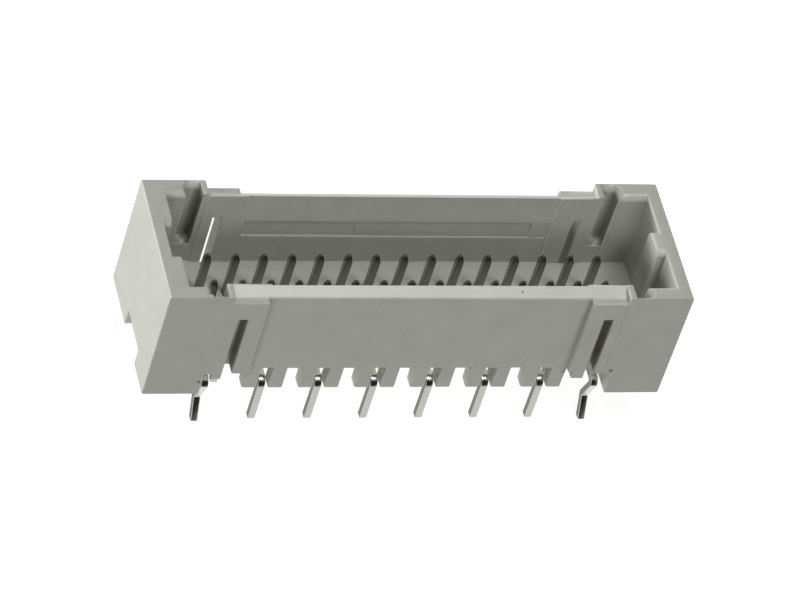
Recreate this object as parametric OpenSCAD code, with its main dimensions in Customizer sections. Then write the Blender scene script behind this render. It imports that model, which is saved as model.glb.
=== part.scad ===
// Shrouded pin header: one moulded housing and two rows of square contacts.
// The origin is the centre of the footprint on the board. +X runs along the rows
// towards the end with the rib, +Y towards the rear wall, +Z up to the plug.

/* [Contacts] */
// Distance from one contact to the next along a row
pitch = 2; // [1.8:0.05:3]
// Number of contacts in each row, always odd
columns = 15; // [11:2:29]
// Distance between the front row and the rear row
row_gap = 2.4; // [2:0.05:3]
// Side of the square contact wire
wire = 0.5; // [0.4:0.02:0.6]
// Height of the contact tips above the board
tip_z = 6.75; // [5:0.05:8]
// Length of the taper on each tip
tip_taper = 0.45; // [0.2:0.05:0.8]
// Width of the flat left on each tip
tip_flat = 0.22; // [0.1:0.02:0.3]
// Distance between the two outer rows of solder tails
tail_span = 9; // [8.6:0.05:9.2]
// Length of the solder tails below the board
tail_len = 3.25; // [2.8:0.05:4.5]
// Extra length of the four corner tails
corner_extra = 0.25; // [0.05:0.05:0.5]
// Chamfer at the end of each tail
tail_chamfer = 0.06; // [0.02:0.01:0.1]
// Height of the cross run's centre line above the board
run_z = 0.36; // [0.3:0.02:0.7]
// Inner radius of the two bends in a cross run
bend_r = 0.15; // [0.1:0.01:0.3]
// Sideways lean of a corner tail at its kink
kink = 0.7; // [0.2:0.05:0.8]
// Depth of that kink below the board
kink_depth = 1.75; // [1.2:0.05:2.2]
// Clearance round a contact in its hole
hole_fit = 0.02; // [0.01:0.01:0.05]

/* [Housing] */
// Distance from the last contact to the end face
end_room = 4.55; // [4.45:0.05:6]
// Width across the end blocks
width = 10.8; // [10.4:0.05:12]
// Height above the board
height = 9.6; // [9:0.05:11]
// Height of the cavity floor above the board
floor_z = 3.05; // [2.6:0.05:3.6]
// Thickness of that floor
floor_t = 1.75; // [1.2:0.05:1.9]
// Thickness of the long walls at the end blocks
wall = 1.3; // [1.2:0.05:1.6]
// Thickness of the end wall with the keyway
key_wall = 1.5; // [1.2:0.05:1.9]
// Thickness of the end wall with the rib
rib_wall = 0.92; // [0.8:0.02:1.2]
// Size of the lead-in chamfer along the end blocks
lead_in = 0.34; // [0.1:0.02:0.4]

/* [Long walls] */
// Set-back of the long walls behind the end blocks
set_back = 0.53; // [0.3:0.01:0.6]
// Drop from the end blocks to the crest of a long wall
crest_drop = 0.15; // [0.05:0.05:0.4]
// Fall of the sloping wall top from its crest to its outer edge
slope_fall = 0.48; // [0.2:0.02:0.7]
// Length of the end blocks
block_len = 4.55; // [4.35:0.05:4.7]
// Length of the raised pads beside the end blocks
pad_len = 2.55; // [2.2:0.05:2.8]
// Set-back of a pad behind the end blocks
pad_set_back = 0.05; // [0.02:0.01:0.1]
// Step of the wall into the cavity behind a pad
pad_step = 0.1; // [0.05:0.01:0.15]
// Distance by which that step starts ahead of the pad
pad_step_in = 0.25; // [0.1:0.05:0.4]
// Width of the slot through a pad
slot_w = 0.65; // [0.4:0.05:0.8]
// Distance from a slot's centre to the end block
slot_in = 1.02; // [0.8:0.02:1.2]
// Height of the slot's upper end above the board
slot_z = 7.3; // [5:0.05:8]

/* [Underside] */
// Length of the feet
foot_len = 4; // [3.4:0.05:4.1]
// Height of the comb's notches and gaps
comb_z = 1.95; // [1.5:0.05:2.4]
// Depth of a comb tooth
tooth_t = 1; // [0.9:0.01:1.3]
// Width of the notch at a tail of the outer row
notch_w = 0.82; // [0.66:0.02:0.9]
// Width of the gap between two notches
gap_w = 1.1; // [0.6:0.05:1.2]
// Height above the board of the lip on one side of each slot
lip_z = 1.4; // [1.2:0.05:1.45]
// Set-back of a lip from the inner end of its pad
lip_in = 0.3; // [0.1:0.05:0.5]
// Distance from the centre to the front limit of the recess under each end wall
recess_front = 2.6; // [1:0.05:3.2]
// Distance from the centre to the rear limit of that recess
recess_rear = 1; // [0.5:0.05:3.2]

/* [Keys and grooves] */
// Width of the keyway in the left end wall
key_w = 2.7; // [2.4:0.05:3]
// Depth of the keyway
key_depth = 0.63; // [0.3:0.01:0.8]
// Width of the rib on the right end wall
rib_w = 2.2; // [1.8:0.05:2.5]
// Height of the rib above its wall
rib_out = 0.67; // [0.3:0.01:0.8]
// Width of a guide groove
groove_w = 1.1; // [0.8:0.05:1.2]
// Distance from a guide groove to the end face
groove_in = 3.05; // [2.8:0.05:3.1]
// Thickness of the skin left outside a groove
skin = 0.36; // [0.3:0.02:0.6]
// Thickness of that skin at its upper edge, outside the groove's lead-in
skin_top = 0.04; // [0.02:0.01:0.2]
// Height of the groove's bottom above the board
groove_z = 4.7; // [4:0.05:6]

/* [Marking fields] */
// Distance from the left pad to the first shallow field inside the rear wall
field_start = 0.3; // [0.1:0.05:1]
// Length of the first field
first_field_len = 7.98; // [4:0.02:9]
// Depth of the first field
first_field_t = 0.2; // [0.05:0.01:0.3]
// Depth of the middle field
middle_field_t = 0.14; // [0.05:0.01:0.3]
// Length of the last field
last_field_len = 1.2; // [0.6:0.05:2]
// Depth of the last field
last_field_t = 0.05; // [0.02:0.01:0.3]
// Distance from the last field to the right pad
field_end = 0.2; // [0.1:0.05:1]
// Height of the fields' lower edge above the board
field_z = 5.48; // [4:0.02:7]
// Height of the fields from edge to edge
field_h = 1.5; // [0.8:0.05:2]
// Distance from the left pad to the raised field on the front wall
front_field_start = 3.65; // [0.5:0.05:5]
// Length of the raised field
front_field_len = 7.9; // [4:0.05:9]
// Height of the raised field's lower edge above the board
front_field_z = 2.97; // [2.5:0.01:4]
// Height of the raised field from edge to edge
front_field_h = 4.43; // [2:0.01:4.9]
// Amount by which the raised field stands out
front_field_t = 0.015; // [0.005:0.005:0.1]

/* [Hidden] */
ROWS = ["front", "rear"];

PLASTIC = [0.64, 0.65, 0.61];
TIN = [0.75, 0.74, 0.70];
EPS = 0.01;

half_l = (columns - 1) * pitch / 2 + end_room;
half_w = width / 2;
cav_y = half_w - wall;
face_y = half_w - set_back;
pad_y = half_w - pad_set_back;
pad_in_y = cav_y - pad_step;
crest_z = height - crest_drop;
brow_z = crest_z - slope_fall;
under_z = floor_z - floor_t;
tooth_y = face_y - tooth_t;
block_x = half_l - block_len;
pad_x = block_x - pad_len;
slot_x = block_x - slot_in;
foot_x = half_l - foot_len;
groove_x = half_l - groove_in - groove_w;
groove_y = half_w - skin;
key_x = -half_l + key_wall;
rib_x = half_l - rib_wall;
row_y = row_gap / 2;
tail_y = tail_span / 2;
bend_out = bend_r + wire;

function contact_name(row, i) = str("contact_", row, "_", i < 9 ? "0" : "", i + 1);
function contact_x(i) = (i - (columns - 1) / 2) * pitch;
function is_outer(i) = i % 2 == 0;
function is_corner(i) = i == 0 || i == columns - 1;
// Height of the sloping wall top, or its continuation, at a distance from the centre
function slope_z(y) = crest_z - slope_fall * (y - cav_y) / (face_y - cav_y);

// A box between two opposite corners
module block(low, high) {
    translate(low) cube(high - low);
}

// A shape in the plane of Y and Z, pulled along X from x0 to x1
module along_x(x0, x1) {
    translate([x0, 0, 0]) rotate([90, 0, 90]) linear_extrude(x1 - x0) children();
}

// The children at both ends, where they are written for the +X end
module both_ends() {
    children();
    mirror([1, 0, 0]) children();
}

// The children at both long walls, where they are written for the +Y wall
module both_walls() {
    children();
    mirror([0, 1, 0]) children();
}

// Floor and long walls between the end blocks, as one trough
module trough() {
    half = [
        [0, under_z], [tooth_y, under_z], [tooth_y, comb_z], [face_y, comb_z],
        [face_y, brow_z], [cav_y, crest_z], [cav_y, floor_z], [0, floor_z]
    ];
    along_x(-block_x - EPS, block_x + EPS) {
        polygon(half);
        mirror([1, 0]) polygon(half);
    }
}

// Full-height block at the +X end, before the cavity is cut
module end_block() {
    block([foot_x, -half_w, 0], [half_l, half_w, height]);
    block([block_x, -half_w, comb_z], [foot_x + EPS, half_w, height]);
    block([block_x, -tooth_y, under_z], [foot_x + EPS, tooth_y, comb_z + EPS]);
}

// Raised pad on the +Y wall beside the +X end block
module pad() {
    along_x(pad_x, block_x + EPS) polygon([
        [cav_y, comb_z], [pad_y, comb_z], [pad_y, brow_z], [face_y, brow_z], [cav_y, crest_z]
    ]);
    along_x(pad_x - pad_step_in, block_x + EPS) polygon([
        [pad_in_y, floor_z - EPS], [cav_y + EPS, floor_z - EPS],
        [cav_y + EPS, slope_z(cav_y + EPS)], [pad_in_y, slope_z(pad_in_y)]
    ]);
}

// Lips under the rear pads, each on the +X side of its slot
module lips() {
    block([slot_x, cav_y, lip_z], [block_x, pad_y, comb_z + EPS]);
    block([-slot_x, cav_y, lip_z], [-pad_x - lip_in, pad_y, comb_z + EPS]);
}

// Comb teeth of the +Y wall, each between a notch and a gap
module teeth() {
    for (i = [1 : columns - 3]) {
        left = is_outer(i) ? notch_w / 2 : gap_w / 2;
        right = is_outer(i) ? gap_w / 2 : notch_w / 2;
        block(
            [contact_x(i) + left, tooth_y, 0],
            [contact_x(i + 1) - right, face_y, comb_z + EPS]
        );
    }
}

// Space for the plug inside the end blocks
module cavity() {
    block([key_x, -cav_y, floor_z], [rib_x, cav_y, height + EPS]);
}

// Lead-in chamfer along the +Y wall from x0 to x1
module wall_lead_in(x0, x1) {
    along_x(x0, x1) polygon([
        [cav_y - EPS, height - lead_in], [cav_y, height - lead_in],
        [cav_y + lead_in, height], [cav_y + lead_in, height + EPS],
        [cav_y - EPS, height + EPS]
    ]);
}

// Guide groove in the +Y wall of the +X end block, widened at its mouth
module groove() {
    block([groove_x, cav_y - EPS, groove_z], [groove_x + groove_w, groove_y, height + EPS]);
    along_x(groove_x, groove_x + groove_w) polygon([
        [groove_y - EPS, height - lead_in], [groove_y, height - lead_in],
        [half_w - skin_top, height], [groove_y - EPS, height + EPS]
    ]);
    rotate([90, 0, 0]) translate([0, 0, -groove_y]) linear_extrude(groove_y - cav_y + EPS) polygon([
        [groove_x + groove_w - EPS, height - lead_in], [groove_x + groove_w, height - lead_in],
        [groove_x + groove_w + lead_in, height], [groove_x + groove_w - EPS, height + EPS]
    ]);
}

// Slot through the +Y wall and pad, open at the bottom
module slot() {
    block([slot_x - slot_w / 2, pad_in_y - EPS, -EPS], [slot_x + slot_w / 2, half_w + EPS, slot_z]);
}

// Keyway in the left end wall, with chamfers at the ends of its mouth
module keyway() {
    block([key_x - key_depth, -key_w / 2, floor_z], [key_x + EPS, key_w / 2, height + EPS]);
    along_x(key_x - key_depth, key_x + EPS) polygon([
        [-key_w / 2, height - lead_in], [key_w / 2, height - lead_in],
        [key_w / 2 + lead_in, height + EPS], [-key_w / 2 - lead_in, height + EPS]
    ]);
}

// Rib on the right end wall, with a chamfered top
module rib() {
    intersection() {
        block([rib_x - rib_out, -rib_w / 2, floor_z - EPS], [rib_x + EPS, rib_w / 2, height]);
        along_x(rib_x - rib_out, rib_x + EPS) polygon([
            [-rib_w / 2, floor_z - EPS], [rib_w / 2, floor_z - EPS],
            [rib_w / 2, height - lead_in], [rib_w / 2 - lead_in, height],
            [-rib_w / 2 + lead_in, height], [-rib_w / 2, height - lead_in]
        ]);
    }
}

// Shallow fields inside the rear wall
module rear_fields() {
    x0 = pad_step_in - pad_x + field_start;
    x1 = x0 + first_field_len;
    x3 = pad_x - pad_step_in - field_end;
    x2 = x3 - last_field_len;
    for (field = [[x0, x1, first_field_t], [x1, x2, middle_field_t], [x2, x3, last_field_t]])
        block(
            [field[0], cav_y - EPS, field_z],
            [field[1], cav_y + field[2], field_z + field_h]
        );
}

// Raised field on the front wall
module front_field() {
    x0 = -pad_x + front_field_start;
    block(
        [x0, -face_y - front_field_t, front_field_z],
        [x0 + front_field_len, -face_y + EPS, front_field_z + front_field_h]
    );
}

// Square holes in the floor, one for each contact
module contact_holes() {
    side = wire + 2 * hole_fit;
    for (i = [0 : columns - 1])
        both_walls()
            block(
                [contact_x(i) - side / 2, row_y - side / 2, under_z - EPS],
                [contact_x(i) + side / 2, row_y + side / 2, floor_z + EPS]
            );
}

module housing() {
    color(PLASTIC) {
        difference() {
            union() {
                difference() {
                    both_ends() end_block();
                    cavity();
                    both_walls() {
                        wall_lead_in(key_x, -groove_x - groove_w / 2);
                        wall_lead_in(groove_x + groove_w / 2, rib_x);
                    }
                    both_ends() both_walls() groove();
                    keyway();
                    both_ends() block(
                        [foot_x - EPS, -recess_front, -EPS], [half_l + EPS, recess_rear, under_z]
                    );
                }
                trough();
                both_ends() both_walls() pad();
                lips();
                rotate(180) lips();
                both_walls() teeth();
                front_field();
            }
            both_ends() both_walls() slot();
            rear_fields();
            contact_holes();
        }
        rib();
    }
}

// What a quarter bend round the origin takes off a square corner in the +Y, +Z quarter
module bend_cut() {
    circle(r = bend_r, $fn = 48);
    difference() {
        square(bend_out + EPS);
        circle(r = bend_out, $fn = 48);
    }
}

// Side view of a straight contact, from its tail to its tip
module straight_outline() {
    translate([row_y, 0]) strip_outline(tail_len);
}

// Side view of a contact whose tail is bent out to the outer row and leans in at its kink
module cross_run_outline(lean, end) {
    y0 = row_y - wire / 2;
    y1 = row_y + wire / 2;
    y2 = tail_y - wire / 2;
    y3 = tail_y + wire / 2;
    z0 = run_z - wire / 2;
    z1 = run_z + wire / 2;
    difference() {
        polygon([
            [row_y - tip_flat / 2, tip_z], [y0, tip_z - tip_taper], [y0, z0],
            [y2 - bend_r, z0], [y2 - bend_r, z0 - bend_r], [y2, z0 - bend_r],
            [y2 - lean, -kink_depth], [y2, tail_chamfer - end], [y2 + tail_chamfer, -end],
            [y3 - tail_chamfer, -end], [y3, tail_chamfer - end], [y3 - lean, -kink_depth],
            [y3, z0 - bend_r], [y3, z1], [y1 + bend_r, z1], [y1 + bend_r, z1 + bend_r],
            [y1, z1 + bend_r], [y1, tip_z - tip_taper], [row_y + tip_flat / 2, tip_z]
        ]);
        translate([y1 + bend_r, z1 + bend_r]) rotate(180) bend_cut();
        translate([y2 - bend_r, z0 - bend_r]) bend_cut();
    }
}

// Front view of a contact: a strip of wire with a tapered tip and a chamfered tail
module strip_outline(end) {
    half = wire / 2;
    polygon([
        [tail_chamfer - half, -end], [half - tail_chamfer, -end], [half, tail_chamfer - end],
        [half, tip_z - tip_taper], [tip_flat / 2, tip_z], [-tip_flat / 2, tip_z],
        [-half, tip_z - tip_taper], [-half, tail_chamfer - end]
    ]);
}

// Contact number i of a row, built for the rear row and turned over for the front one
module contact(row, i) {
    end = is_corner(i) ? tail_len + corner_extra : tail_len;
    color(TIN)
    translate([contact_x(i), 0, 0])
    mirror([0, row == "front" ? 1 : 0, 0])
    intersection() {
        along_x(-wire / 2, wire / 2) {
            if (is_outer(i)) cross_run_outline(is_corner(i) ? kink : 0, end);
            else straight_outline();
        }
        translate([0, tail_span, 0]) rotate([90, 0, 0]) linear_extrude(tail_span) strip_outline(end);
    }
}

housing();
for (row = ROWS)
    for (i = [0 : columns - 1])
        contact(row, i);
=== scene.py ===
"""Shrouded pin header: a grey moulded shroud with rows of tin-plated contacts, on a white studio floor."""

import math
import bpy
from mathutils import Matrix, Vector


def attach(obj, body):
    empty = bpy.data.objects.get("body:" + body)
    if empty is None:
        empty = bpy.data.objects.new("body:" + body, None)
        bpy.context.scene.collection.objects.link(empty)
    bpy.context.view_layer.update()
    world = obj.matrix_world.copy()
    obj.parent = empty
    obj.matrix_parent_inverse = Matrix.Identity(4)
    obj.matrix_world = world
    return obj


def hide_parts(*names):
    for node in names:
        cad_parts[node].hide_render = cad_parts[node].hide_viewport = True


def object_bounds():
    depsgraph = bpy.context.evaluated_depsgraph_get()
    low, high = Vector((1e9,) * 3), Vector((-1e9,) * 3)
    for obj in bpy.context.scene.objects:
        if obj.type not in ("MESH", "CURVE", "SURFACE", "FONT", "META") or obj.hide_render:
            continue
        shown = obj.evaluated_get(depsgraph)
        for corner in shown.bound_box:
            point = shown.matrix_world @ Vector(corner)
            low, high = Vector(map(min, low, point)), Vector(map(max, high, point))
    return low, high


bl_info = {
    "name": "Shrouded pin header",
    "version": (1, 0, 0),
    "blender": (4, 5, 0),
    "location": "View3D > Sidebar > Pin header",
    "description": "Dresses the shroud, the contacts and the stage of a shrouded pin header",
    "category": "Object",
}

import bmesh
import bpy
from mathutils import Matrix, Vector

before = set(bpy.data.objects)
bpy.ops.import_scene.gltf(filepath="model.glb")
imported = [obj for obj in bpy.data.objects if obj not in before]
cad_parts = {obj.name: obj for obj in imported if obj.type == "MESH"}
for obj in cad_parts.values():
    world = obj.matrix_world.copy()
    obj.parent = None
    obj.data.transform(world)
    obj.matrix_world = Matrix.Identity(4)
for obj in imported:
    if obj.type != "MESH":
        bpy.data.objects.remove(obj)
CAD_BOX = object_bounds()

MM = 0.001

# Limits for joining flat faces and for choosing the edges to round
MERGE_DISTANCE = 0.001 * MM
FLAT_ANGLE = math.radians(0.5)
SHARP_ANGLE = math.radians(25)
ALONG_COSINE = 0.9
ROOM_SHARE = 0.42
LEAST_SHARE = 0.12
BEVEL_SEGMENTS = 3

# Heights above the cut end and below the tip of a wire in which its edges stay crisp
CUT_END_HEIGHT = 0.08 * MM
TIP_HEIGHT = 0.02 * MM


# Settings


class ShroudSettings(bpy.types.PropertyGroup):
    """Sizes and colours of the moulded shroud."""

    edge_radius: bpy.props.FloatProperty(
        name="Edge radius",
        description="Radius on the outer edges of the moulding",
        default=0.13 * MM,
        min=0.0,
        unit="LENGTH",
        precision=6,
    )
    colour: bpy.props.FloatVectorProperty(
        name="Plastic colour",
        description="Colour of the grey moulding",
        default=(0.44, 0.452, 0.402),
        min=0.0,
        max=1.0,
        subtype="COLOR",
    )
    roughness: bpy.props.FloatProperty(
        name="Plastic roughness",
        description="Roughness of the matt moulded surface",
        default=0.33,
        min=0.0,
        max=1.0,
        subtype="FACTOR",
    )
    cloud_size: bpy.props.FloatProperty(
        name="Flow mark size",
        description="Width of the pale and dark clouds in the moulding",
        default=1.8 * MM,
        min=0.0,
        unit="LENGTH",
        precision=6,
    )
    grain_size: bpy.props.FloatProperty(
        name="Grain size",
        description="Size of the fine matt grain",
        default=0.11 * MM,
        min=0.0,
        unit="LENGTH",
        precision=6,
    )


class ContactSettings(bpy.types.PropertyGroup):
    """Sizes and colours of the contacts."""

    edge_radius: bpy.props.FloatProperty(
        name="Wire edge radius",
        description="Radius on the edges of the square wire",
        default=0.05 * MM,
        min=0.0,
        unit="LENGTH",
        precision=6,
    )
    colour: bpy.props.FloatVectorProperty(
        name="Tin colour",
        description="Colour of the bright tin plate",
        default=(0.71, 0.705, 0.64),
        min=0.0,
        max=1.0,
        subtype="COLOR",
    )
    roughness: bpy.props.FloatProperty(
        name="Tin roughness",
        description="Roughness of the tin plate",
        default=0.2,
        min=0.0,
        max=1.0,
        subtype="FACTOR",
    )
    # Share of the tails' colour that the contacts keep inside the shroud
    mating_end_tone: bpy.props.FloatProperty(
        name="Mating end tone",
        description="Tone of the duller plate inside the shroud, as a share of the tails' tone",
        default=0.4,
        min=0.0,
        max=1.0,
        subtype="FACTOR",
    )


class StageSettings(bpy.types.PropertyGroup):
    """Light levels, floor and camera."""

    lens: bpy.props.FloatProperty(
        name="Lens",
        description="Focal length of the camera in millimetres",
        default=250.67,
        min=1.0,
    )
    key_power: bpy.props.FloatProperty(
        name="Key light",
        description="Power of the soft box above the front",
        default=0.32,
        min=0.0,
        unit="POWER",
    )
    side_power: bpy.props.FloatProperty(
        name="Side light",
        description="Power of the low soft box on the left",
        default=1.12,
        min=0.0,
        unit="POWER",
    )
    front_power: bpy.props.FloatProperty(
        name="Front light",
        description="Power of the wide soft box in front, to the left",
        default=0.5,
        min=0.0,
        unit="POWER",
    )
    top_power: bpy.props.FloatProperty(
        name="Top light",
        description="Power of the soft box overhead",
        default=0.36,
        min=0.0,
        unit="POWER",
    )
    back_power: bpy.props.FloatProperty(
        name="Back light",
        description="Power of the low soft box behind, to the left",
        default=0.75,
        min=0.0,
        unit="POWER",
    )
    sky_level: bpy.props.FloatProperty(
        name="Sky level",
        description="Level of the even light from all round",
        default=0.1,
        min=0.0,
        max=2.0,
    )
    floor_glow: bpy.props.FloatProperty(
        name="Floor glow",
        description="Level of the light that the white floor throws up under the header",
        default=2.6,
        min=0.0,
        max=10.0,
    )
    floor_reach: bpy.props.FloatProperty(
        name="Floor reach",
        description="Half the side of the floor",
        default=0.6,
        min=0.1,
        unit="LENGTH",
    )


# Shapes


def merged_copy(node_name):
    """A bmesh of a frame node, with its loose triangles joined to whole flat faces."""
    shape = bmesh.new()
    shape.from_mesh(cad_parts[node_name].data)
    bmesh.ops.remove_doubles(shape, verts=shape.verts, dist=MERGE_DISTANCE)
    bmesh.ops.dissolve_limit(
        shape,
        angle_limit=FLAT_ANGLE,
        use_dissolve_boundaries=False,
        verts=shape.verts,
        edges=shape.edges,
    )
    return shape


def distance_to_edge(point, edge):
    """Distance from a point to the nearest point of a straight edge."""
    start = edge.verts[0].co
    along = edge.verts[1].co - start
    share = (point - start).dot(along) / along.length_squared
    return (start + along * min(1.0, max(0.0, share)) - point).length


def edge_room(edge):
    """The distance that the faces beside an edge leave for rounding it."""
    room = math.inf
    line = (edge.verts[1].co - edge.verts[0].co).normalized()
    for face in edge.link_faces:
        for other in face.edges:
            if other is edge:
                continue
            shared = set(other.verts) & set(edge.verts)
            if shared:
                other_line = (other.verts[1].co - other.verts[0].co).normalized()
                if abs(line.dot(other_line)) < ALONG_COSINE:
                    room = min(room, other.calc_length())
                continue
            for vert in other.verts:
                room = min(room, distance_to_edge(vert.co, edge))
            for vert in edge.verts:
                room = min(room, distance_to_edge(vert.co, other))
    return room


def mark_edges(shape, radius, crisp_ends):
    """Weigh the edges to round: the outer ones of a moulding, or all of a wire but its crisp ends."""
    weight = shape.edges.layers.float.new("bevel_weight_edge")
    heights = [vert.co.z for vert in shape.verts]
    low = min(heights) + CUT_END_HEIGHT
    high = max(heights) - TIP_HEIGHT
    for edge in shape.edges:
        if len(edge.link_faces) != 2:
            continue
        if edge.calc_face_angle() < SHARP_ANGLE:
            continue
        share = min(1.0, ROOM_SHARE * edge_room(edge) / radius)
        at_end = all(vert.co.z < low or vert.co.z > high for vert in edge.verts)
        if crisp_ends and at_end:
            share = 0.0
        if (edge.is_convex or crisp_ends) and share > LEAST_SHARE:
            edge[weight] = share
        else:
            edge.smooth = False


def soft_edged_piece(name, node_name, radius, crisp_ends=False):
    """A piece that stands for a frame node, with its edges rounded."""
    shape = merged_copy(node_name)
    mark_edges(shape, radius, crisp_ends)
    bmesh.ops.connect_verts_concave(shape, faces=shape.faces)
    for face in shape.faces:
        face.smooth = True
    mesh = bpy.data.meshes.new(name)
    shape.to_mesh(mesh)
    shape.free()
    piece = bpy.data.objects.new(name, mesh)
    bpy.context.scene.collection.objects.link(piece)
    rounding = piece.modifiers.new("rounded edges", "BEVEL")
    rounding.limit_method = "WEIGHT"
    rounding.width = radius
    rounding.segments = BEVEL_SEGMENTS
    rounding.profile = 0.5
    rounding.use_clamp_overlap = False
    flats = piece.modifiers.new("flat faces", "WEIGHTED_NORMAL")
    flats.keep_sharp = True
    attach(piece, "root")
    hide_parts(node_name)
    return piece


# Materials


# Depth of the clouds and the grain in the plastic's tone, and of the specks
PLASTIC_CLOUD_DEPTH = 0.17
PLASTIC_GRAIN_DEPTH = 0.12
SPECK_DEPTH = 0.7

# Size and depth of the clouds and the grain in the tin's tone, before they are drawn out along the wire
TIN_CLOUD_SIZE = 0.4 * MM
TIN_CLOUD_DEPTH = 0.12
TIN_GRAIN_SIZE = 0.05 * MM
TIN_GRAIN_DEPTH = 0.14
STREAK_SCALE = (1.0, 0.35, 0.12)

# Heights between which the tin's colour turns darker
DARKER_FROM = 1.6 * MM
DARKER_TO = 3.0 * MM

# Spread of roughness that the grain gives, and strength and depth of each material's relief
ROUGHNESS_SPREAD = 0.2
PLASTIC_RELIEF = (0.25, 0.02 * MM)
TIN_RELIEF = (0.15, 0.01 * MM)

# Small dark spots on the moulding: centre and radius in millimetres
SPECKS = (
    ((-14.8, -5.4, 1.25), 0.16),
    ((14.45, -5.4, 2.3), 0.2),
    ((6.44, -4.45, 9.2), 0.11),
)

# Share of each colour that the painted dark shade and the painted black shade take away
PAINTED_DARK_SHADE = Vector((0.6, 0.62, 0.7))
PAINTED_BLACK_SHADE = Vector((0.88, 0.885, 0.905))

# Painted shade in deep recesses and inner corners, where shade falls: centre, half size and softness in
# millimetres, and shade
PAINTED_RECESS_SHADES = (
    ((-12.98, -4.675, 3.6), (0.36, 0.675, 3.75), (0.03, 0.45, 0.04), 1.06 * PAINTED_DARK_SHADE),
    ((12.98, -4.675, 3.6), (0.36, 0.675, 3.75), (0.03, 0.4, 0.04), 1.18 * PAINTED_DARK_SHADE),
    # Painted black shade in the rear right slot
    ((12.98, 4.8, 3.6), (0.36, 0.8, 3.75), (0.03, 0.4, 2.4), PAINTED_BLACK_SHADE),
    ((-14.4, 4.65, 7.0), (0.6, 0.6, 2.5), (0.5, 0.3, 0.7), 1.15 * PAINTED_DARK_SHADE),
    ((15.5, 4.65, 7.0), (0.6, 0.6, 2.5), (0.5, 0.3, 0.7), 0.85 * PAINTED_DARK_SHADE),
    ((-15.5, -4.65, 7.0), (0.6, 0.6, 2.5), (0.5, 0.3, 0.7), PAINTED_DARK_SHADE),
    ((14.4, -4.65, 7.0), (0.6, 0.6, 2.5), (0.5, 0.3, 0.7), PAINTED_DARK_SHADE),
    ((-11.5, -4.87, 5.2), (0.75, 0.2, 3.9), (0.6, 0.1, 0.3), 0.3 * PAINTED_DARK_SHADE),
    ((11.5, -4.87, 5.2), (0.6, 0.2, 3.9), (0.55, 0.1, 0.3), 0.4 * PAINTED_DARK_SHADE),
    ((-11.5, 4.87, 5.2), (0.6, 0.2, 3.9), (0.55, 0.1, 0.3), 0.3 * PAINTED_DARK_SHADE),
    ((11.5, 4.87, 5.2), (0.6, 0.2, 3.9), (0.55, 0.1, 0.3), 0.3 * PAINTED_DARK_SHADE),
)


def new_group(name, inputs, outputs):
    """A shader node group with named sockets, and its input and output nodes."""
    group = bpy.data.node_groups.new(name, "ShaderNodeTree")
    for label, kind, value in inputs:
        socket = group.interface.new_socket(name=label, in_out="INPUT", socket_type=kind)
        if value is not None:
            socket.default_value = value
    for label, kind in outputs:
        group.interface.new_socket(name=label, in_out="OUTPUT", socket_type=kind)
    start = group.nodes.new("NodeGroupInput")
    end = group.nodes.new("NodeGroupOutput")
    return group, start, end


def fill(tree, sockets, values):
    """Link each value that is a socket to its input, and set each that is a number or a vector."""
    for socket, value in zip(sockets, values):
        if isinstance(value, bpy.types.NodeSocket):
            tree.links.new(value, socket)
        else:
            socket.default_value = value


def math_node(tree, operation, *values):
    """The output of a Math node with these inputs."""
    node = tree.nodes.new("ShaderNodeMath")
    node.operation = operation
    fill(tree, node.inputs, values)
    return node.outputs[0]


def vector_node(tree, operation, *values):
    """The output of a Vector Math node with these inputs: a number if the operation measures."""
    node = tree.nodes.new("ShaderNodeVectorMath")
    node.operation = operation
    fill(tree, node.inputs, values)
    measures = operation in {"DISTANCE", "DOT_PRODUCT", "LENGTH"}
    return node.outputs["Value" if measures else "Vector"]


def ramp(tree, value, low, high, start, end):
    """A smooth step of a value between two limits."""
    node = tree.nodes.new("ShaderNodeMapRange")
    node.interpolation_type = "SMOOTHSTEP"
    labels = ("Value", "From Min", "From Max", "To Min", "To Max")
    fill(tree, [node.inputs[label] for label in labels], (value, low, high, start, end))
    return node.outputs["Result"]


def centred_noise(tree, place, size, detail):
    """Noise about nought whose clouds have a given size."""
    noise = tree.nodes.new("ShaderNodeTexNoise")
    noise.inputs["Detail"].default_value = detail
    tree.links.new(place, noise.inputs["Vector"])
    tree.links.new(math_node(tree, "DIVIDE", 1.0, size), noise.inputs["Scale"])
    return math_node(tree, "SUBTRACT", noise.outputs[0], 0.5)


def mottle_group():
    """Clouds and fine grain, as a tone about one and a height."""
    group, start, end = new_group(
        "Mottle",
        (
            ("Place", "NodeSocketVector", None),
            ("Cloud size", "NodeSocketFloat", 0.002),
            ("Cloud depth", "NodeSocketFloat", 0.1),
            ("Grain size", "NodeSocketFloat", 0.0001),
            ("Grain depth", "NodeSocketFloat", 0.1),
        ),
        (("Tone", "NodeSocketFloat"), ("Height", "NodeSocketFloat")),
    )
    cloud = centred_noise(group, start.outputs["Place"], start.outputs["Cloud size"], 2.0)
    grain = centred_noise(group, start.outputs["Place"], start.outputs["Grain size"], 1.0)
    deep_cloud = math_node(group, "MULTIPLY", cloud, start.outputs["Cloud depth"])
    deep_grain = math_node(group, "MULTIPLY", grain, start.outputs["Grain depth"])
    tone = math_node(group, "ADD", math_node(group, "ADD", deep_cloud, deep_grain), 1.0)
    group.links.new(tone, end.inputs["Tone"])
    group.links.new(grain, end.inputs["Height"])
    return group


def speck_group():
    """A round speck about a point, as a mask."""
    group, start, end = new_group(
        "Speck",
        (
            ("Place", "NodeSocketVector", None),
            ("Centre", "NodeSocketVector", None),
            ("Radius", "NodeSocketFloat", 0.0001),
        ),
        (("Mask", "NodeSocketFloat"),),
    )
    apart = vector_node(group, "DISTANCE", start.outputs["Place"], start.outputs["Centre"])
    share = math_node(group, "DIVIDE", apart, start.outputs["Radius"])
    group.links.new(ramp(group, share, 0.5, 1.0, 1.0, 0.0), end.inputs["Mask"])
    return group


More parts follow.
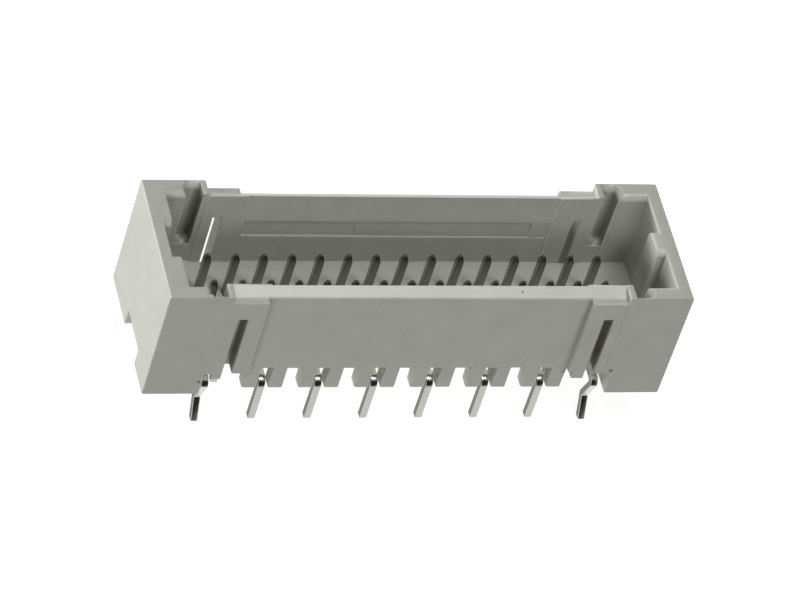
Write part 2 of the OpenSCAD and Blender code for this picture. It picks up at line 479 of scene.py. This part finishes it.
def painted_shade_box_group():
    """A box about a point, soft inside its faces, as a mask for painted shade."""
    group, start, end = new_group(
        "Recess",
        (
            ("Place", "NodeSocketVector", None),
            ("Centre", "NodeSocketVector", None),
            ("Half size", "NodeSocketVector", None),
            ("Softness", "NodeSocketVector", None),
        ),
        (("Mask", "NodeSocketFloat"),),
    )
    apart = vector_node(group, "SUBTRACT", start.outputs["Place"], start.outputs["Centre"])
    past = vector_node(group, "SUBTRACT", vector_node(group, "ABSOLUTE", apart), start.outputs["Half size"])
    depth = vector_node(group, "DIVIDE", past, start.outputs["Softness"])
    axes = group.nodes.new("ShaderNodeSeparateXYZ")
    group.links.new(depth, axes.inputs["Vector"])
    shares = [ramp(group, axes.outputs[axis], -1.0, 0.0, 1.0, 0.0) for axis in "XYZ"]
    flat = math_node(group, "MULTIPLY", shares[0], shares[1])
    group.links.new(math_node(group, "MULTIPLY", flat, shares[2]), end.inputs["Mask"])
    return group


def group_node(tree, group, values):
    """A node of a group with its own values, where a socket is linked and a number is set."""
    node = tree.nodes.new("ShaderNodeGroup")
    node.node_tree = group
    fill(tree, [node.inputs[label] for label in values], values.values())
    return node


def new_material(name):
    """An empty node material, its Principled shader and the Object coordinates."""
    material = bpy.data.materials.new(name)
    material.use_nodes = True
    tree = material.node_tree
    shader = tree.nodes["Principled BSDF"]
    place = tree.nodes.new("ShaderNodeTexCoord").outputs["Object"]
    return material, tree, shader, place


def toned(tree, colour, tone):
    """A colour multiplied by a tone."""
    scale = tree.nodes.new("ShaderNodeVectorMath")
    scale.operation = "SCALE"
    scale.inputs[0].default_value = colour
    tree.links.new(tone, scale.inputs["Scale"])
    return scale.outputs["Vector"]


def fine_surface(tree, shader, height, roughness, relief):
    """Roughness about its mean and fine relief on a shader, both from the height of the grain."""
    spread = math_node(tree, "MULTIPLY", height, ROUGHNESS_SPREAD)
    tree.links.new(math_node(tree, "ADD", spread, roughness), shader.inputs["Roughness"])
    bump = tree.nodes.new("ShaderNodeBump")
    bump.inputs["Strength"].default_value, bump.inputs["Distance"].default_value = relief
    tree.links.new(height, bump.inputs["Height"])
    tree.links.new(bump.outputs["Normal"], shader.inputs["Normal"])


def group_named(name, maker):
    """The group of that name, made the first time it is asked for."""
    return bpy.data.node_groups.get(name) or maker()


def painted_recess_shade(tree, place, colour):
    """A colour made darker and warmer in the deep recesses, as painted shade."""
    loss = Vector((0.0, 0.0, 0.0))
    for centre, half_size, softness, shade in PAINTED_RECESS_SHADES:
        recess = group_node(
            tree,
            group_named("Recess", painted_shade_box_group),
            {
                "Place": place,
                "Centre": Vector(centre) * MM,
                "Half size": Vector(half_size) * MM,
                "Softness": Vector(softness) * MM,
            },
        )
        loss = vector_node(tree, "MAXIMUM", loss, toned(tree, shade, recess.outputs["Mask"]))
    kept = vector_node(tree, "SUBTRACT", Vector((1.0, 1.0, 1.0)), loss)
    return vector_node(tree, "MULTIPLY", colour, kept)


def plastic_material(settings):
    """Matt grey moulded plastic with flow marks, fine grain, a few dark specks and painted shade in the
    recesses.
    """
    material, tree, shader, place = new_material("Grey moulding")
    mottle = group_node(
        tree,
        group_named("Mottle", mottle_group),
        {
            "Place": place,
            "Cloud size": settings.cloud_size,
            "Cloud depth": PLASTIC_CLOUD_DEPTH,
            "Grain size": settings.grain_size,
            "Grain depth": PLASTIC_GRAIN_DEPTH,
        },
    )
    tone = mottle.outputs["Tone"]
    for centre, radius in SPECKS:
        speck = group_node(
            tree,
            group_named("Speck", speck_group),
            {"Place": place, "Centre": Vector(centre) * MM, "Radius": radius * MM},
        )
        loss = math_node(tree, "MULTIPLY", speck.outputs["Mask"], SPECK_DEPTH)
        tone = math_node(tree, "MULTIPLY", tone, math_node(tree, "SUBTRACT", 1.0, loss))
    # Painted shade darkens the colour in the recesses and inner corners.
    colour = painted_recess_shade(tree, place, toned(tree, settings.colour, tone))
    tree.links.new(colour, shader.inputs["Base Color"])
    fine_surface(tree, shader, mottle.outputs["Height"], settings.roughness, PLASTIC_RELIEF)
    return material


def tin_material(settings):
    """Bright tin plate with drawn streaks along the wire, its colour darker at the mating end."""
    material, tree, shader, place = new_material("Bright tin plate")
    stretch = tree.nodes.new("ShaderNodeMapping")
    stretch.inputs["Scale"].default_value = STREAK_SCALE
    tree.links.new(place, stretch.inputs["Vector"])
    mottle = group_node(
        tree,
        group_named("Mottle", mottle_group),
        {
            "Place": stretch.outputs["Vector"],
            "Cloud size": TIN_CLOUD_SIZE,
            "Cloud depth": TIN_CLOUD_DEPTH,
            "Grain size": TIN_GRAIN_SIZE,
            "Grain depth": TIN_GRAIN_DEPTH,
        },
    )
    height = tree.nodes.new("ShaderNodeSeparateXYZ")
    tree.links.new(place, height.inputs["Vector"])
    # The tin's colour turns darker from the tails up to the mating end.
    darkened = ramp(tree, height.outputs["Z"], DARKER_FROM, DARKER_TO, 1.0, settings.mating_end_tone)
    tone = math_node(tree, "MULTIPLY", mottle.outputs["Tone"], darkened)
    tree.links.new(toned(tree, settings.colour, tone), shader.inputs["Base Color"])
    shader.inputs["Metallic"].default_value = 1.0
    fine_surface(tree, shader, mottle.outputs["Height"], settings.roughness, TIN_RELIEF)
    return material


# Stage


# Soft boxes: name, direction from the header, distance, width and height in metres, shown in mirrors or not
SOFT_BOXES = (
    ("key", (0.226, -0.356, 0.906), 0.356, (0.07, 0.07), True),
    ("side", (-0.985, 0.156, 0.052), 0.35, (0.12, 0.03), False),
    ("front", (-0.3, -0.86, 0.39), 0.35, (0.6, 0.1), False),
    ("top", (0.0, -0.05, 0.9987), 0.35, (0.16, 0.16), False),
    ("back", (-0.4, 0.9, 0.15), 0.35, (0.1, 0.08), False),
)

# Sides of the room that are dark in mirrors: direction, cosines between which they darken, and level left
DARK_SIDES = (
    ((0.2, -0.97, 0.12), 0.45, 0.9, 0.02),
    ((0.2, 0.7, 0.69), 0.7, 0.95, 0.3),
    ((-0.4, 0.62, -0.68), 0.72, 0.96, 0.3),
)

# The floor's own colour, its level for the eye near the header, and the distances over which it turns white
FLOOR_COLOUR = (0.4, 0.4, 0.395, 1.0)
NEAR_LEVEL = 0.78
WHITE_FROM = 20 * MM
WHITE_TO = 40 * MM

# Half size of the glow under the header, and the share of it at which the glow starts to fade
GLOW_HALF_SIZE = (("X", CAD_BOX[1][0]), ("Y", 1.2 * CAD_BOX[1][1]))
GLOW_FADE = 0.8

# The camera's sensor, its axes and its place in millimetres
SENSOR_WIDTH = 36.0
CAMERA_RIGHT = Vector((0.94917, -0.21148, 0.23314))
CAMERA_UP = Vector((-0.00213, 0.73635, 0.67660))
CAMERA_BACK = Vector((-0.31476, -0.64270, 0.69847))
CAMERA_PLACE = Vector((-119.83, -244.86, 269.67))


def seen_rays(tree, path):
    """One for the rays that show the room as white: those of the eye, also through clear things."""
    return math_node(tree, "MAXIMUM", path.outputs["Is Camera Ray"], path.outputs["Is Transmission Ray"])


def studio_world(settings):
    """Even light for the object, white for the eye, and a white room with dark sides for mirrors."""
    world = bpy.data.worlds.new("Studio")
    bpy.context.scene.world = world
    world.use_nodes = True
    tree = world.node_tree
    background = tree.nodes["Background"]
    background.inputs["Color"].default_value = (1.0, 1.0, 1.0, 1.0)
    way = tree.nodes.new("ShaderNodeTexCoord").outputs["Generated"]
    path = tree.nodes.new("ShaderNodeLightPath")
    mirrored = path.outputs["Is Glossy Ray"]
    for direction, start, full, left in DARK_SIDES:
        nearness = vector_node(tree, "DOT_PRODUCT", way, Vector(direction).normalized())
        mirrored = math_node(tree, "MULTIPLY", mirrored, ramp(tree, nearness, start, full, 1.0, left))
    seen = seen_rays(tree, path)
    shown = math_node(tree, "MAXIMUM", seen, path.outputs["Is Glossy Ray"])
    even = math_node(tree, "MULTIPLY", math_node(tree, "SUBTRACT", 1.0, shown), settings.sky_level)
    level = math_node(tree, "ADD", math_node(tree, "ADD", seen, mirrored), even)
    tree.links.new(level, background.inputs["Strength"])


def floor_material(settings):
    """White floor that glows softly under the header and keeps a faint shadow."""
    material = bpy.data.materials.new("White floor")
    material.use_nodes = True
    tree = material.node_tree
    tree.nodes.remove(tree.nodes["Principled BSDF"])
    output = tree.nodes["Material Output"]
    matt = tree.nodes.new("ShaderNodeBsdfDiffuse")
    matt.inputs["Color"].default_value = FLOOR_COLOUR
    glow = tree.nodes.new("ShaderNodeEmission")
    path = tree.nodes.new("ShaderNodeLightPath")
    seen = seen_rays(tree, path)
    place = tree.nodes.new("ShaderNodeTexCoord").outputs["Object"]
    away = vector_node(tree, "LENGTH", place)
    white = math_node(tree, "MULTIPLY", seen, ramp(tree, away, WHITE_FROM, WHITE_TO, NEAR_LEVEL, 1.0))
    axes = tree.nodes.new("ShaderNodeSeparateXYZ")
    tree.links.new(place, axes.inputs["Vector"])
    even = math_node(tree, "MULTIPLY", math_node(tree, "SUBTRACT", 1.0, seen), settings.floor_glow)
    for axis, reach in GLOW_HALF_SIZE:
        off = math_node(tree, "ABSOLUTE", axes.outputs[axis])
        even = math_node(tree, "MULTIPLY", even, ramp(tree, off, GLOW_FADE * reach, reach, 1.0, 0.0))
    tree.links.new(math_node(tree, "ADD", white, even), glow.inputs["Strength"])
    both = tree.nodes.new("ShaderNodeAddShader")
    tree.links.new(matt.outputs["BSDF"], both.inputs[0])
    tree.links.new(glow.outputs["Emission"], both.inputs[1])
    tree.links.new(both.outputs["Shader"], output.inputs["Surface"])
    return material


def studio_floor(settings):
    """The floor, level with the ends of the tails."""
    shape = bmesh.new()
    bmesh.ops.create_grid(shape, x_segments=1, y_segments=1, size=settings.floor_reach)
    bmesh.ops.translate(shape, verts=shape.verts, vec=(0.0, 0.0, CAD_BOX[0][2]))
    mesh = bpy.data.meshes.new("floor")
    shape.to_mesh(mesh)
    shape.free()
    floor = bpy.data.objects.new("floor", mesh)
    bpy.context.scene.collection.objects.link(floor)
    floor.visible_glossy = False
    mesh.materials.append(floor_material(settings))


def soft_box(name, direction, distance, size, power, mirrored):
    """A soft box in a direction from the header, facing it, with its width and height."""
    lamp = bpy.data.lights.new(name, "AREA")
    lamp.shape = "RECTANGLE"
    lamp.size, lamp.size_y = size
    lamp.energy = power
    box = bpy.data.objects.new(name, lamp)
    bpy.context.scene.collection.objects.link(box)
    way = Vector(direction).normalized()
    box.visible_camera = False
    box.visible_glossy = mirrored
    box.location = way * distance
    box.rotation_euler = way.to_track_quat("Z", "Y").to_euler()


def photo_camera(settings):
    """The camera at the photograph's place."""
    data = bpy.data.cameras.new("Camera")
    data.sensor_fit = "HORIZONTAL"
    data.sensor_width = SENSOR_WIDTH
    data.lens = settings.lens
    camera = bpy.data.objects.new("Camera", data)
    bpy.context.scene.collection.objects.link(camera)
    turn = Matrix((CAMERA_RIGHT, CAMERA_UP, CAMERA_BACK)).transposed().to_4x4()
    camera.matrix_world = Matrix.Translation(CAMERA_PLACE * MM) @ turn
    bpy.context.scene.camera = camera


# Operators


class PINHEADER_OT_shroud(bpy.types.Operator):
    """Make the moulded shroud"""

    bl_idname = "pin_header.shroud"
    bl_label = "Shroud"

    def execute(self, context):
        settings = context.scene.pin_header_shroud
        piece = soft_edged_piece("shroud", "housing", settings.edge_radius)
        piece.data.materials.append(plastic_material(settings))
        return {"FINISHED"}


class PINHEADER_OT_contacts(bpy.types.Operator):
    """Make the rows of square contacts"""

    bl_idname = "pin_header.contacts"
    bl_label = "Contacts"

    def execute(self, context):
        settings = context.scene.pin_header_contacts
        tin = tin_material(settings)
        for node_name in sorted(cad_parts):
            if not node_name.startswith("contact_"):
                continue
            row, number = node_name.split("_")[1:]
            piece = soft_edged_piece(f"{row}_pin_{number}", node_name, settings.edge_radius, True)
            piece.data.materials.append(tin)
        return {"FINISHED"}


class PINHEADER_OT_stage(bpy.types.Operator):
    """Make the floor, the lights and the camera"""

    bl_idname = "pin_header.stage"
    bl_label = "Stage"

    def execute(self, context):
        settings = context.scene.pin_header_stage
        studio_floor(settings)
        studio_world(settings)
        for name, direction, distance, size, mirrored in SOFT_BOXES:
            power = getattr(settings, f"{name}_power")
            soft_box(f"{name} box", direction, distance, size, power, mirrored)
        photo_camera(settings)
        context.scene.view_settings.view_transform = "Standard"
        return {"FINISHED"}


class PINHEADER_PT_panel(bpy.types.Panel):
    """Sidebar panel of the pin header"""

    bl_idname = "PINHEADER_PT_panel"
    bl_label = "Pin header"
    bl_space_type = "VIEW_3D"
    bl_region_type = "UI"
    bl_category = "Pin header"

    def draw(self, context):
        for operator, group in (
            ("pin_header.shroud", context.scene.pin_header_shroud),
            ("pin_header.contacts", context.scene.pin_header_contacts),
            ("pin_header.stage", context.scene.pin_header_stage),
        ):
            box = self.layout.box()
            for name in group.bl_rna.properties.keys():
                if name not in {"rna_type", "name"}:
                    box.prop(group, name)
            box.operator(operator)


CLASSES = (
    ShroudSettings,
    ContactSettings,
    StageSettings,
    PINHEADER_OT_shroud,
    PINHEADER_OT_contacts,
    PINHEADER_OT_stage,
    PINHEADER_PT_panel,
)


def register():
    for item in CLASSES:
        bpy.utils.register_class(item)
    bpy.types.Scene.pin_header_shroud = bpy.props.PointerProperty(type=ShroudSettings)
    bpy.types.Scene.pin_header_contacts = bpy.props.PointerProperty(type=ContactSettings)
    bpy.types.Scene.pin_header_stage = bpy.props.PointerProperty(type=StageSettings)


def unregister():
    del bpy.types.Scene.pin_header_stage
    del bpy.types.Scene.pin_header_contacts
    del bpy.types.Scene.pin_header_shroud
    for item in reversed(CLASSES):
        bpy.utils.unregister_class(item)


def main():
    register()
    bpy.ops.pin_header.shroud()
    bpy.ops.pin_header.contacts()
    bpy.ops.pin_header.stage()


if __name__ == "__main__":
    main()
